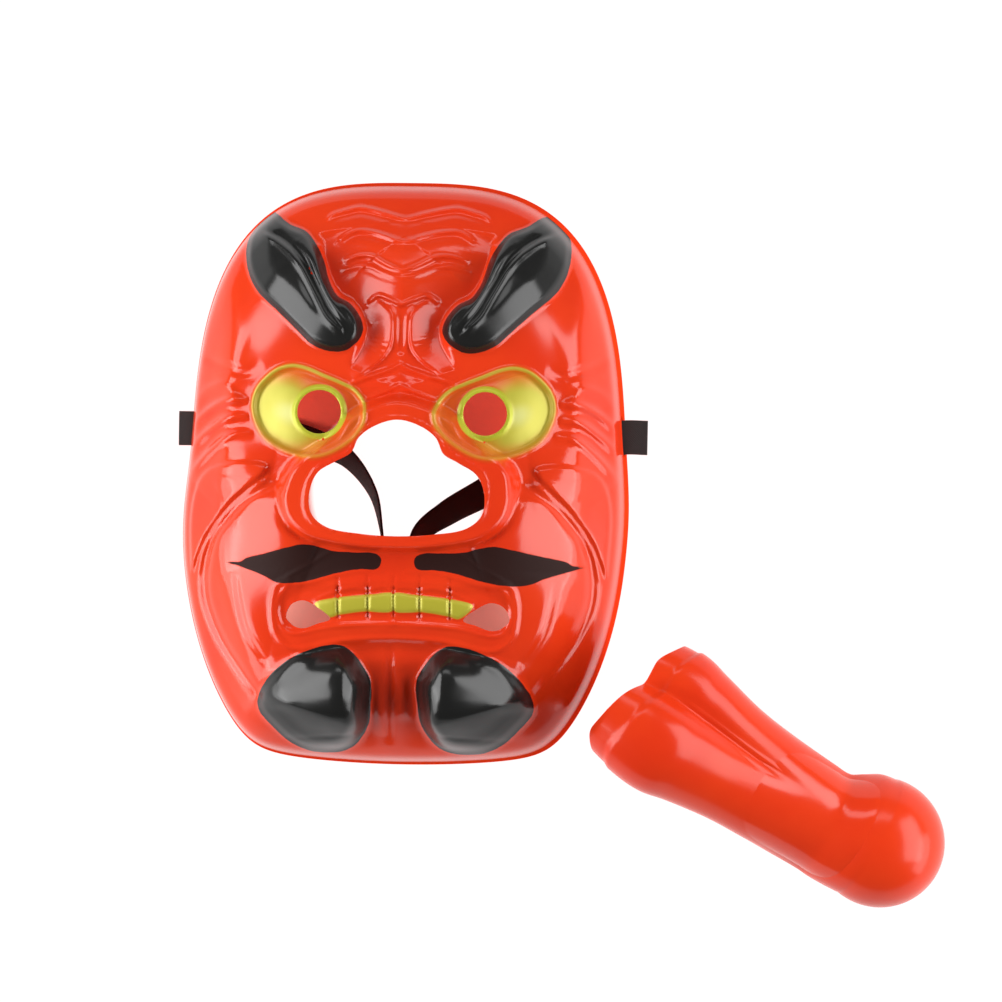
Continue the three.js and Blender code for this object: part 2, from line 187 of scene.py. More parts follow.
def spaced(line, gap):
    """Points along a closed line about that far apart, without the closing one."""
    along = np.concatenate([[0], np.cumsum(np.linalg.norm(np.diff(line, axis=0), axis=1))])
    count = max(12, round(along[-1] / gap))
    at = np.linspace(0, along[-1], count, endpoint=False)
    return np.stack([np.interp(at, along, line[:, k]) for k in range(2)], 1)


def to_line(line, x, y):
    """Distance to a line, the side of it (+ is left of its direction) and the share of its length."""
    near = np.full(len(x), 1e9)
    side = np.ones(len(x))
    share = np.zeros(len(x))
    steps = np.diff(line, axis=0)
    lengths = np.linalg.norm(steps, axis=1)
    done = np.concatenate([[0], np.cumsum(lengths)]) / lengths.sum()
    for (ax, ay), (dx, dy), length, start, end in zip(line, steps, lengths, done, done[1:]):
        t = np.clip(((x - ax) * dx + (y - ay) * dy) / (length * length + 1e-9), 0, 1)
        away = np.hypot(x - ax - t * dx, y - ay - t * dy)
        closer = away < near
        near[closer] = away[closer]
        side[closer] = np.sign(dx * (y - ay) - dy * (x - ax) + 1e-12)[closer]
        share[closer] = (start + t * (end - start))[closer]
    return near, side, share


def is_inside(line, x, y):
    inside = np.zeros(len(x), bool)
    for (ax, ay), (bx, by) in zip(line, np.roll(line, -1, 0)):
        if ay != by:
            inside ^= ((ay > y) != (by > y)) & (x < (bx - ax) * (y - ay) / (by - ay) + ax)
    return inside


def near_only(line, reach, x, y):
    low, high = line.min(0) - reach, line.max(0) + reach
    return (x > low[0]) & (x < high[0]) & (y > low[1]) & (y < high[1])


def depth_in(line, x, y, reach):
    """How deep a point lies in a closed line, negative outside it and never under -reach."""
    depth = np.full(len(x), -float(reach))
    close = near_only(line, reach, x, y)
    away = to_line(np.vstack([line, line[:1]]), x[close], y[close])[0]
    depth[close] = np.maximum(-reach, np.where(is_inside(line, x[close], y[close]), away, -away))
    return depth


def around(count):
    """Each number below the count with the next one round a loop."""
    return [(i, (i + 1) % count) for i in range(count)]


def piece(name, points, faces, materials, face_material=None, sharp=()):
    """A mesh object in the row frame from points in the mask's frame."""
    mesh = bpy.data.meshes.new(name)
    placed = (np.asarray(points) + LAYOUT) * METRE
    mesh.from_pydata(placed.tolist(), [], [list(map(int, face)) for face in faces])
    for material in materials:
        mesh.materials.append(material)
    if face_material is not None:
        mesh.polygons.foreach_set("material_index", np.asarray(face_material, np.int32))
    mesh.polygons.foreach_set("use_smooth", np.ones(len(mesh.polygons), bool))
    if len(sharp):
        wanted = {tuple(sorted(e)) for e in sharp}
        flags = [tuple(sorted(e.vertices)) in wanted for e in mesh.edges]
        mesh.attributes.new("sharp_edge", "BOOLEAN", "EDGE").data.foreach_set("value", flags)
    mesh.validate()
    return add_object(name, mesh)


def add_values(made, name, values):
    field = made.data.attributes.new(name, "FLOAT", "POINT")
    field.data.foreach_set("value", np.asarray(values, np.float32))


# Elastic strap: its route in metres in the row frame, and its turn from flat in degrees

STRAP_WIDTH = 0.014
STRAP_THICK = 0.0012
STRAP_ROUTE = [(-0.1562, 0.0428, 0.009), (-0.1498, 0.0428, 0.009), (-0.1288, 0.0428, 0.003),
               (-0.1018, 0.0378, 0.004), (-0.0878, 0.0318, 0.0065), (-0.0768, 0.0178, 0.0074),
               (-0.0728, 0.0018, 0.0076), (-0.0708, -0.0142, 0.0076), (-0.0658, -0.0212, 0.0076),
               (-0.0608, -0.0162, 0.0076), (-0.0568, 0.0008, 0.0072), (-0.0458, 0.0098, 0.0058),
               (-0.0318, 0.0178, 0.0048), (-0.0128, 0.0288, 0.003), (0.0072, 0.0378, 0.003),
               (0.0252, 0.0413, 0.009), (0.0352, 0.0413, 0.009)]
STRAP_TURNS = [0, 0, 8, 35, 56, 72, 84, 90, 90, 84, 60, 45, 34, 16, 6, 0, 0]
STRAP_STEPS = 16
STRAP_SIDES = 20


def strap_frames():
    path = through(STRAP_ROUTE, steps=STRAP_STEPS)
    turns = through(list(enumerate(STRAP_TURNS)), steps=STRAP_STEPS)[:, 1]
    ahead = unit(np.gradient(path, axis=0))
    level = unit(np.stack([-ahead[:, 1], ahead[:, 0], 0 * ahead[:, 0]], 1))
    turn = np.radians(turns)[:, None]
    across = level * np.cos(turn) + np.array([0, 0, 1]) * np.sin(turn)
    thick = unit(np.cross(across, ahead))
    low = STRAP_WIDTH / 2 * abs(across[:, 2]) + STRAP_THICK / 2 * abs(thick[:, 2])
    path[:, 2] = np.maximum(path[:, 2], low + 0.00005)
    return path, across, thick


def elastic_strap(material):
    path, across, thick = strap_frames()
    turn = full_turn(STRAP_SIDES)[:, None]
    wide = squarish(np.cos(turn), 0.35) * STRAP_WIDTH / 2
    deep = squarish(np.sin(turn), 0.6) * STRAP_THICK / 2
    points = (path[:, None] + across[:, None] * wide + thick[:, None] * deep).reshape(-1, 3)
    faces = []
    for row in range(0, len(points) - STRAP_SIDES, STRAP_SIDES):
        over = row + STRAP_SIDES
        faces += [(row + i, row + k, over + k, over + i) for i, k in around(STRAP_SIDES)]
    faces.append(list(range(STRAP_SIDES - 1, -1, -1)))
    faces.append(list(range(len(points) - STRAP_SIDES, len(points))))
    band = piece("strap_band", points / METRE - LAYOUT, faces, [material])
    length = float(np.linalg.norm(np.diff(path, axis=0), axis=1).sum())
    return band, path, length


# Form of the mask

def lean(y):
    """The face stands a little out of true: how far its middle lies to the side at each height."""
    return FACE_LEAN * smooth(*FACE_LEAN_LEVELS, y)


def half_of(x, y):
    """Distance to the middle line. The face's upper right features stand a little further out."""
    side = x - lean(y)
    share = smooth(*RIGHT_SHIFT_BEGINS, side) * smooth(*RIGHT_SHIFT_ENDS, side)
    return abs(side) - RIGHT_SHIFT * share * smooth(*RIGHT_SHIFT_LEVELS, y)


def gauge(x, y):
    """0 at the middle of the mask and 1 on its rim."""
    side = (x - lean(y)) / (MASK_HALF_WIDTH - CHEEK_SPREAD * np.tanh(y / CHEEK_SPREAD_RUN))
    rise = y - CENTRE_Y
    upper = rise >= 0
    power = np.where(upper, UPPER_POWER, LOWER_POWER)
    reach = np.where(upper, UPPER_REACH, LOWER_REACH)
    oval = (abs(side) ** power + abs(rise / reach) ** power) ** (1 / power)
    chin = (-rise + np.sqrt(rise * rise + 4 * CHIN_REACH * CHIN_BOW * x * x)) / (2 * CHIN_REACH)
    return np.where(upper, oval, (oval ** CHIN_CORNER + chin ** CHIN_CORNER) ** (1 / CHIN_CORNER))


BROW = [(58, 106.5), (46.5, 98.6), (39.3, 95.2), (34.8, 89.5), (31.7, 83.3), (29.2, 75.1),
        (25.6, 69), (20.3, 65.8), (16.2, 60.5), (15, 55.2), (17, 50.5), (22.2, 46.9), (28.8, 47),
        (35, 49.5), (41.1, 55.1), (49.6, 63.1), (57.8, 70.7), (61.8, 77.1), (63.8, 83.5),
        (64.3, 92.2), (62.3, 99)]
BROW_CREASE = [(61, 99.5), (56.5, 95.2), (50.3, 91.9), (45.9, 88.6), (42.2, 85), (38.5, 80.2),
               (35.5, 74.8), (31.9, 68.1), (28.2, 61.4), (23.4, 55.8)]
BROW_INNER = [(41, 91), (37.8, 87.1), (36.1, 84.4), (33.7, 78.2), (30.8, 72.2), (27.9, 66.8),
              (24.4, 62.1), (20.9, 56.9)]
MOUSTACHE = [(67, -36.5), (61.1, -36.3), (59, -34.9), (50.7, -32.7), (42.2, -30.3), (35.1, -28.9),
             (29.8, -29.8), (24.4, -31.3), (14.5, -31.8), (9.3, -31.8), (6.1, -32.7), (4.9, -34.6),
             (5.6, -37.3), (7.3, -38.4), (12.4, -38.3), (17.7, -39), (24.2, -40.5), (30.8, -42.5),
             (37.3, -43.9), (45.9, -44.1), (51.9, -41.3), (61, -38.2)]
MOUTH = [(0, -45), (20, -45), (38, -45), (46, -50), (47, -57), (43, -63), (33, -63), (19, -60),
         (0, -59)]
LIP_OUTER = [(41, -43.5), (45.9, -45), (47.5, -49.5), (48, -56.3), (46.6, -64.2), (42.8, -68.4),
             (38.7, -70.1), (33.5, -69.6), (27.5, -68), (20.2, -66.6), (11.1, -65.7), (0, -65.3)]
LIP_INNER = [(42, -45.5), (45, -49.7), (46, -55), (44.9, -60.2), (42.1, -63.2), (37.4, -63.8),
             (30.8, -62.2), (24.2, -60.9), (17.6, -60.3), (9.1, -59.8), (0, -59.6)]
CHIN = [(27.5, -68.7), (20.9, -68.3), (15.8, -71.5), (11.8, -76.7), (9.3, -81.4), (8.7, -85.4),
        (9.2, -92.2), (10.1, -99.2), (12.8, -104.9), (16.5, -109.5), (21.6, -112.2), (28.5, -113),
        (35.3, -112.3), (42.9, -108.4), (49, -102.4), (54.1, -96.3), (55, -92.8), (54.3, -89.3),
        (52.1, -85.1), (47.7, -79.5), (40.8, -74), (34.1, -70.8)]
CHIN_CREST = [(54, -87), (44.2, -90.2), (34.3, -93.7), (26.5, -96.3), (18.7, -98.3), (10, -100)]
MOUTH_HOLE = [(44, -58), (42, -53), (37, -51), (32, -53), (26, -58), (31, -60), (37, -62),
              (41, -61)]
NOSE_HOLE = [(0, 20), (9, 17.5), (15, 13), (18, 7), (24, 3.5), (31, -1), (34, -9), (33, -17),
             (27, -22), (14, -24.4), (0, -25.2)]
EYE_LIDS = [(13.3, 23.1), (14.7, 27.5), (18.1, 31.6), (23.3, 34.3), (30, 37), (37.4, 40),
            (42.8, 40.9), (48.3, 39.5), (53, 36.1), (56.7, 31.5), (58.2, 25.5), (56.8, 19),
            (53.2, 13), (47.6, 9.1), (42.1, 6.9), (35.2, 5.6), (29.1, 6.2), (23.5, 8.6),
            (17.6, 13), (13.8, 18.5)]
TEETH = [(0, -47.7), (8.2, -48), (20.3, -49.2), (23, -49.6), (31.2, -52.1), (25.6, -57.5),
         (21.3, -56.5), (11.8, -55), (0, -54.4)]
LEAF = [(81.6, -4.3), (77.1, 0.4), (67.4, 2.9), (54.8, 2.7), (51.5, 1.4), (53.2, -2.1),
        (59.8, -7.4), (66.5, -13.4), (72, -20.1), (77, -27.5), (80.8, -36.3), (83.1, -41.8),
        (84.3, -31.1), (84.6, -17.7), (83.4, -9.5)]
LEAF_FOLD = [(51.3, -2.7), (59.8, -10), (66.5, -15.8), (73.5, -24.6), (77.9, -32.6), (80.5, -42)]
CHEEK_GROOVE = [(47, -4.5), (50, -6.4), (59.8, -11), (67.9, -19.3), (74.2, -28.1), (76.5, -37.5),
                (77, -50), (71.5, -65), (61.5, -80), (54, -90)]
CHEEK_EDGE = [(48.9, -8.9), (57.7, -13), (64.4, -18.7), (70.8, -27), (74.9, -36), (76.5, -46)]

HOLE_LINE = through(NOSE_HOLE + [(-x, y) for x, y in NOSE_HOLE[-2:0:-1]], True, 12)
ANGLES = np.linspace(-math.pi, math.pi, 1441)


def rim_reaches():
    reach = np.full(len(ANGLES), MASK_HALF_WIDTH)
    for _ in range(14):
        reach = reach / gauge(np.cos(ANGLES) * reach, CENTRE_Y + np.sin(ANGLES) * reach)
    return reach


def hole_reaches():
    reach = np.zeros(len(ANGLES))
    dx, dy = np.cos(ANGLES), np.sin(ANGLES)
    for (ax, ay), (bx, by) in zip(HOLE_LINE, HOLE_LINE[1:]):
        ay, by = ay - CENTRE_Y, by - CENTRE_Y
        across = dx * (by - ay) - dy * (bx - ax)
        across = np.where(abs(across) < 1e-9, 1e-9, across)
        along = (ax * (by - ay) - ay * (bx - ax)) / across
        t = (ax * dy - ay * dx) / across
        reach = np.where((t >= -1e-6) & (t <= 1 + 1e-6) & (along > reach), along, reach)
    return reach


RIM_REACH = rim_reaches()
HOLE_REACH = hole_reaches()


# Features of the relief. Each is given for the right half and mirrored, and adds its height.

def fade_ends(share, ends, power):
    """1 in the middle of a line and the given value at its ends."""
    return ends + (1 - ends) * np.sin(math.pi * np.clip(share, 0, 1)) ** power


def by_line(points, reach, height_at):
    """A feature along a line, from a point's distance to it, side of it and share of its length."""
    line = through(points)

    def rise(x, y):
        out = np.zeros(len(x))
        close = near_only(line, reach, x, y)
        out[close] = height_at(*to_line(line, x[close], y[close]))
        return out
    return rise


def ridge(points, width, height, ends=1.0):
    """A rounded ridge or, with a negative height, a groove. With ends 0 it fades out at both ends."""
    def height_at(away, side, share):
        return height * bump(away, width) * fade_ends(share, ends, 0.7)
    return by_line(points, 3 * width, height_at)


def crease(points, width, height, ends=0.0):
    """A fold in the sheet: a ridge on the left of the line and a groove on its right."""
    def height_at(away, side, share):
        s = away * side
        fold = bump(s - width * 0.75, width) - 0.8 * bump(s + width * 0.75, width)
        return height * fade_ends(share, ends, 0.6) * fold
    return by_line(points, 4 * width, height_at)


def bank(points, left, right, height):
    """A fold with a different slope on each side of its crest, which fades out at both its ends."""
    def height_at(away, side, share):
        width = np.where(side > 0, left, right)
        return height * fade_ends(share, 0, 0.7) * np.exp(-((away / width) ** 1.6))
    return by_line(points, 3 * max(left, right), height_at)


def wrinkle(points, width, height, ends=0.3):
    """A narrow fold whose far side, on the left of the line, dips a little before it runs out."""
    def height_at(away, side, share):
        s = away * side
        fold = bump(s, width) - 0.4 * bump(s - 2.2 * width, 1.7 * width)
        return height * fade_ends(share, ends, 0.6) * fold
    return by_line(points, 6 * width, height_at)


def island(points, height, shoulder, steep=0.35):
    """A raised island with a rounded shoulder."""
    line = loop_of(points)

    def rise(x, y):
        return height * smooth(-steep * shoulder, shoulder, depth_in(line, x, y, 2 * shoulder))
    return rise


def ramp(points, height, run, corner=0.12):
    """An island whose side is a flat slope, with tight bends at its foot and its top."""
    line = loop_of(points)

    def rise(x, y):
        share = depth_in(line, x, y, 2 * run) / run
        steps = [np.clip(share + corner * k, 0, 1) for k in (-1, -0.5, 0, 0.5, 1)]
        return height * sum(steps) / len(steps)
    return rise


def swelling(cx, cy, rx, ry, height):
    def rise(x, y):
        return height * np.exp(-(((x - cx) / rx) ** 2) - ((y - cy) / ry) ** 2)
    return rise


def collar(x, y):
    """The short collar that the pull-off nose fits over."""
    angle = np.arctan2(y - CENTRE_Y, x)
    away = np.hypot(x, y - CENTRE_Y) - np.interp(angle, ANGLES, HOLE_REACH)
    above, below = np.maximum(0, np.sin(angle)), np.maximum(0, -np.sin(angle))
    share = away / (COLLAR_REACH - COLLAR_LESS_ABOVE * above - COLLAR_LESS_BELOW * below)
    top = 1 + 0.05 * np.clip(share, 0, 0.7)
    side = 1 - smooth(*COLLAR_SIDE, share)
    return COLLAR_RISE * top * side + COLLAR_LIP * bump(away - LIP_WIDTH, LIP_WIDTH)


FOREHEAD = [
    wrinkle([(31, 101), (29.3, 102.4), (23.9, 104.2), (18.2, 105.4), (8.4, 103.2), (2.3, 101.4),
             (0, 101)], 0.95, 1.25),
    wrinkle([(25, 92.5), (22.6, 94.2), (19.1, 95.7), (13, 95.1), (7.8, 93.5), (2.9, 91.7),
             (0, 91.3)], 0.95, 1.25),
    wrinkle([(23, 83.5), (20.4, 84.6), (16.5, 85.5), (12.1, 85.1), (8, 82.7), (4.3, 80.8),
             (0, 79.4)], 0.95, 1.35),
    wrinkle([(24, 79.5), (17.9, 81), (13.1, 80.8), (7.8, 78.4), (3, 76.9), (0, 76.6)], 0.85, 0.7),
    bank([(33, 95), (31, 84), (28, 75.5), (24.4, 70.2), (19.2, 67.2), (15, 61), (13.8, 53), (19, 40)],
         1.5, 17.0, -7.2),
    swelling(0, 77, 13, 17, 3.0),
    wrinkle([(13, 67.2), (11.6, 68.4), (9.3, 69.4), (5.3, 68), (1.8, 66.5), (0, 65.4)], 0.8, 1.0, 0.6),
    ridge([(5.2, 66), (2.6, 61), (2.2, 54.6), (2.3, 48)], 0.9, 0.75, 0.1),
    ridge([(0, 64), (0, 47)], 1.2, -0.7),
    bank([(12, 69), (8, 65.5), (4.4, 61), (3.8, 55.3), (4.5, 49.4), (8, 44.2), (13.5, 39.5), (19, 36)],
         5.5, 0.8, 2.2),
    wrinkle([(19, 34.5), (13.6, 36.4), (7.4, 38.6), (2.7, 40.4), (0, 42)], 0.85, 1.0, 0.5),
    wrinkle([(14, 28), (9.5, 29.6), (3.7, 32), (0, 34)], 0.85, 0.8, 0.5),
]
BROWS = [
    island(BROW, BROW_RISE * 0.5, 3.0),
    ramp(BROW, BROW_RISE * 0.5, 10.5),
    crease(BROW_CREASE, 1.5, 1.5, 0.45),
    ridge(BROW_INNER, 1.6, 1.5, 0.2),
]
EYES = [
    swelling(38, 24, 31, 20, -7.5),
    swelling(38, 23, 17, 13, 7),
]
TEMPLES = [
    ridge([(72, 80), (70, 66), (69, 55), (69.5, 42), (69.5, 28), (69, 12), (66, 5)], 7.5, 2.8, 0.4),
    swelling(66, 30, 17, 24, 2.4),
    ridge([(86, 47), (75.7, 42.6), (69.5, 40.3), (62.5, 38.5), (55, 41)], 2.0, -1.7, 0.0),
    bank([(82, 29), (80.2, 31.5), (75.4, 33.4), (70, 33.6), (66.2, 29.6), (63.5, 25.5)], 3.6, 1.5, 1.6),
    wrinkle([(60, 27), (67, 27.5), (75, 25), (86, 18)], 1.6, 2.2, 0.0),
    wrinkle([(60, 21), (68, 20.5), (75, 17), (86, 9)], 1.6, 2.2, 0.0),
    wrinkle([(58.5, 14.5), (67, 13.5), (75.5, 8), (86, -2)], 1.6, 2.2, 0.0),
]
CHEEKS = [
    bank([(50, 1), (60, 3.2), (67.4, 3), (77, 0.4), (83, -6)], 8.0, 12.0, 2.4),
    island(LEAF, 1.8, 1.3),
    ridge(LEAF_FOLD, 1.0, 1.2, 0.3),
    ridge(CHEEK_GROOVE, 2.0, -2.0, 0.3),
    ridge([(63, -42), (62, -50), (58.3, -64), (50, -77)], 1.4, -0.9, 0.2),
    bank(CHEEK_EDGE, 2.2, 13.0, 1.4),
    bank([(48, -4), (48.5, -10), (47, -16), (43.5, -22), (38.5, -26.6), (30, -30)], 17.0, 1.8, 4.8),
    bank([(63.5, -40), (62.5, -50), (60, -60), (55, -70), (46, -79)], 8.0, 10.0, 3.2),
    bank([(35, 2.5), (39.6, 0.4), (43.6, -2.6), (45.7, -7.2), (46, -13), (43.5, -19)], 1.6, 4.5, 0.9),
    ridge([(46.6, -8.6), (45.8, -15.1), (42.8, -21), (37.6, -25.4), (32, -27.3)], 1.5, -1.2, 0.2),
]
MOUTH_FORMS = [
    ridge([(45, -43.7), (40.6, -41), (33.4, -37), (27.5, -33.3), (24.4, -31.7)], 0.7, 0.5, 0.5),
    wrinkle([(44, -44.4), (37.3, -44.6), (30.8, -43.2), (24.2, -41.2), (17.7, -39.6), (12.4, -38.9),
             (5, -38.8)], 0.9, 0.5, 0.5),
    island(MOUTH, -1.8, 4),
    ridge(LIP_OUTER, 1.1, 0.9, 1.0),
    ridge(LIP_INNER, 0.9, 0.9, 0.8),
    swelling(0, -51, 30, 9, 2.4),
    island(TEETH, 1.3, 1.0),
    wrinkle([(31.5, -51.2), (25.6, -48.4), (21.7, -47), (15, -45.6), (10.1, -46.4), (5, -45.2),
             (0, -46)], 0.7, 0.5, 0.6),
    ridge([(0, -69), (30, -72)], 4.0, -1.8),
]
for gap in (0.0, 10.1, 21.9):
    MOUTH_FORMS.append(ridge([(gap, -45.5), (gap, -57)], 0.6, -1.4, 1.0))
    MOUTH_FORMS.append(ridge([(gap + 0.2, -40.5), (gap, -45)], 0.6, -0.5, 0.4))
CHINS = [
    island(CHIN, CHIN_RISE * 0.45, 4),
    ramp(CHIN, CHIN_RISE * 0.55, 13),
    bank(CHIN_CREST, 6.0, 15.0, 3.0),
    bank([(22, -70), (20.5, -80), (19.5, -90), (18, -104)], 26.0, 5.0, 5.0),
]
CHIN_LINE = loop_of(CHIN)
FACET_OUTER = 38
FACET_LEVEL = -84
FACET_CREST = (20.6, 0.33)
FACET_TURN = (0.3, 0.24)


def chin_facet(x, y):
    """Turns each chin patch outward, and less downward above its slanting crest."""
    inside = smooth(0, 7, depth_in(CHIN_LINE, x, y, 14))
    inward = 2 * np.logaddexp(0, (FACET_OUTER - x) / 2)
    to_crest = FACET_CREST[0] - FACET_CREST[1] * x
    downward = np.clip(FACET_LEVEL - y, -14, to_crest)
    return inside * (FACET_TURN[0] * inward + FACET_TURN[1] * downward)


CLEFT = [
    swelling(-1.2, -92, 6, 16, 2),
    ridge([(-1.2, -69), (-1.5, -82), (-1.8, -92), (-2.4, -107)], 1.6, -1.8, 0.2),
    ridge([(-6.4, -79), (-6.2, -92.8), (-5.2, -105)], 1.9, 1.2, 0.0),
    ridge([(3.2, -79), (3.6, -88), (3.4, -98)], 1.9, 1.2, 0.0),
]
RELIEF = [collar, *FOREHEAD, *BROWS, *EYES, *TEMPLES, *CHEEKS, *MOUTH_FORMS, *CHINS, chin_facet]
EYE_LINE = loop_of(EYE_LIDS)


def eye_relief(x, y):
    """Lids with a raised line round a ball, and a lipped hole in it."""
    depth = depth_in(EYE_LINE, x, y, 8)
    lid = 1.2 * bump(depth + 0.3, 0.95)
    hollow = smooth(0.2, 2.0, depth)
    ball = smooth(1.5, 9, depth)
    away = np.hypot(x - EYE_X, y - EYE_Y)
    return lid - hollow + ball + LIP_WIDTH * bump(away - EYE_HOLE_RADIUS - LIP_WIDTH, LIP_WIDTH)


def dome_height(g):
    """Height of the sheet without its relief: a dome, then an even slope and a steep rim."""
    round_dome = MASK_DEPTH * (1 - g ** DOME_IN) ** (1 / DOME_OUT)
    slope_top = MASK_DEPTH * (1 - SLOPE_START ** DOME_IN) ** (1 / DOME_OUT)
    slope = slope_top - (g - SLOPE_START) * SLOPE_FALL
    rim_wall = (1 - g) * RIM_FALL
    lower = np.logaddexp(-SHOULDER * slope, -SHOULDER * rim_wall)
    edge = -lower / SHOULDER
    share = smooth(SLOPE_START - SLOPE_BLEND, SLOPE_START + SLOPE_BLEND, g)
    return round_dome * (1 - share) + edge * share


def face_height(x, y):
    g = np.clip(gauge(x, y), 0, 1)
    dome = dome_height(g)
    half, level = half_of(x, y), y
    total = sum(feature(half, level) for feature in RELIEF) + eye_relief(half, level)
    total = total + sum(feature(x - lean(y), y) for feature in CLEFT)
    return dome + (1 - smooth(0.9, 0.995, g)) * total


# The sheet is meshed on a plane on which its dome is rolled out, to give the steep sides enough points

MEAN_REACH = 104
PROFILE_SHARES = np.linspace(0, 1, 4001)
PROFILE_STEPS = np.hypot(np.diff(PROFILE_SHARES) * MEAN_REACH, np.diff(dome_height(PROFILE_SHARES)))
PROFILE_RUN = np.concatenate([[0], np.cumsum(PROFILE_STEPS)])
ROLLED = PROFILE_RUN[-1] / MEAN_REACH
PROFILE_RUN /= PROFILE_RUN[-1]


def polar(x, y):
    angle = np.arctan2(y - CENTRE_Y, x)
    return angle, np.hypot(x, y - CENTRE_Y), np.interp(angle, ANGLES, RIM_REACH)


def rolled_out(x, y):
    angle, away, reach = polar(x, y)
    far = np.interp(np.clip(away / reach, 0, 1), PROFILE_SHARES, PROFILE_RUN) * reach * ROLLED
    return np.stack([far * np.cos(angle), CENTRE_Y + far * np.sin(angle)], 1)


def rolled_back(q):
    angle, away, reach = polar(*q.T)
    far = np.interp(np.clip(away / (reach * ROLLED), 0, 1), PROFILE_RUN, PROFILE_SHARES) * reach
    return far * np.cos(angle), CENTRE_Y + far * np.sin(angle)


def on_sheet(q):
    x, y = rolled_back(q)
    return np.stack([x, y, face_height(x, y)], 1)


def sheet_normals(q):
    """Outward directions of the sheet, from two small steps towards its middle."""
    step = 0.25
    toward = np.array([0.0, CENTRE_Y]) - q
    toward /= np.linalg.norm(toward, axis=1)[:, None] + 1e-9
    turned = np.stack([-toward[:, 1], toward[:, 0]], 1)
    here = on_sheet(q + toward * step * 0.2)
    inward = on_sheet(q + toward * step) - here
    sideways = on_sheet(q + toward * step * 0.2 + turned * step) - here
    normals = np.cross(inward, sideways)
    return unit(normals * np.sign(normals[:, 2:3] + 1e-12))


SLOT_Y = 16.0
SLOT_Z = 9.0
SLOT_LONG = 16.5
SLOT_HIGH = 3.4
SLOT_WITHIN = (60.0, 92.5)


def slot_line(side):
    """The strap's slot in the mask's side, as points of the sheet seen from above."""
    turn = full_turn(40)
    y = SLOT_Y + squarish(np.cos(turn), 0.4) * SLOT_LONG / 2
    z = SLOT_Z + squarish(np.sin(turn), 0.6) * SLOT_HIGH / 2
    near, far = [np.full(len(y), limit) for limit in SLOT_WITHIN]
    for _ in range(24):
        middle = (near + far) / 2
        above = face_height(side * middle, y) > z
        near = np.where(above, middle, near)
        far = np.where(above, far, middle)
    return np.stack([side * near, y], 1)


def circle(cx, cy, radius, count):
    turn = full_turn(count)
    return np.stack([cx + radius * np.cos(turn), cy + radius * np.sin(turn)], 1)


def sheet_loops():
    """The sheet's edges, rolled out: its rim first and then its holes."""
    turn = np.linspace(-math.pi, math.pi, 640, endpoint=False)
    reach = np.interp(turn, ANGLES, RIM_REACH)
    rim = np.stack([np.cos(turn) * reach, CENTRE_Y + np.sin(turn) * reach], 1)
    holes = [spaced(HOLE_LINE, 0.8)]
    for side in (-1, 1):
        flip = np.array([side, 1])
        holes.append(circle(side * EYE_X + max(side, 0) * RIGHT_SHIFT, EYE_Y, EYE_HOLE_RADIUS, 72))
        holes.append(spaced(through(np.array(MOUTH_HOLE) * flip, True, 12), 0.7))
        holes.append(slot_line(side))
    return [rolled_out(*loop.T) for loop in [rim, *holes]]


def grid_points(reach, gap):
    rows = []
    for k, v in enumerate(np.arange(-reach[1], reach[1], gap * 0.866)):
        u = np.arange(-reach[0], reach[0], gap) + (k % 2) * gap / 2
        rows.append(np.stack([u, np.full(len(u), v)], 1))
    return np.vstack(rows)


MOUTH_AREA = (51, -72, -29)
WRINKLE_AREA = (32, 73, 107)
GLABELLA_AREA = (19, 28, 73)


def in_area(half, y, reach, low, high):
    return (half < reach) & (y > low) & (y < high)


def detail_level(q):
    """How fine the relief is: 2 between the brows, 1 on brows, eyes and mouth, 0 elsewhere."""
    x, y = rolled_back(q)
    half = half_of(x, y)
    level = np.where(in_area(half, y, *MOUTH_AREA), 1, 0)
    for outline, margin in ((BROW, 2.5), (EYE_LIDS, 3.0)):
        level[depth_in(loop_of(outline), half, y, 6) > -margin] = 1
    level[in_area(half, y, *WRINKLE_AREA) | in_area(half, y, *GLABELLA_AREA)] = 2
    return level


def mesh_sheet(loops, gaps):
    """Points and triangles of the rolled-out sheet between its edges. The edges' points come first."""
    gap = gaps[0]
    reach = np.abs(loops[0]).max(0) + gap
    grids = [grid_points(reach, spacing) for spacing in gaps]
    if len(gaps) > 1:
        grids = [grid[detail_level(grid) == k] for k, grid in enumerate(grids)]
    grid = np.vstack(grids)
    grid = grid[depth_in(loops[0], *grid.T, 1e3) > gap * 0.55]
    for loop in loops[1:]:
        grid = grid[depth_in(loop, *grid.T, 2 * gap) < -gap * 0.45]
    edges = []
    start = 0
    for loop in loops:
        edges += [(start + i, start + k) for i, k in around(len(loop))]
        start += len(loop)
    q = np.vstack([*loops, grid])
    made = delaunay_2d_cdt([Vector(p) for p in q], edges, [], 0, 1e-7)
    if len(made[0]) != len(q):
        raise RuntimeError("the sheet's edges cross")
    faces = np.array(made[2])
    middle = q[faces].mean(1)
    inside = is_inside(loops[0], *middle.T)
    for loop in loops[1:]:
        inside &= ~is_inside(loop, *middle.T)
    faces = faces[inside]
    a, b, c = q[faces[:, 0]], q[faces[:, 1]], q[faces[:, 2]]
    turned = (b - a)[:, 0] * (c - a)[:, 1] - (b - a)[:, 1] * (c - a)[:, 0] < 0
    faces[turned] = faces[turned][:, ::-1]
    return q, faces


OUTER_GAPS = (1.16, 0.82, 0.55)
INNER_GAPS = (2.6,)
# The gold on each eye is palest round this centre, in a tilted ellipse with these radii: a painted
# highlight on the ball.
PAINTED_HIGHLIGHT_CENTRE = (44.5, 22.4)
PAINTED_HIGHLIGHT_RADII = (13.5, 11.5)
PAINTED_HIGHLIGHT_TILT = 0.2


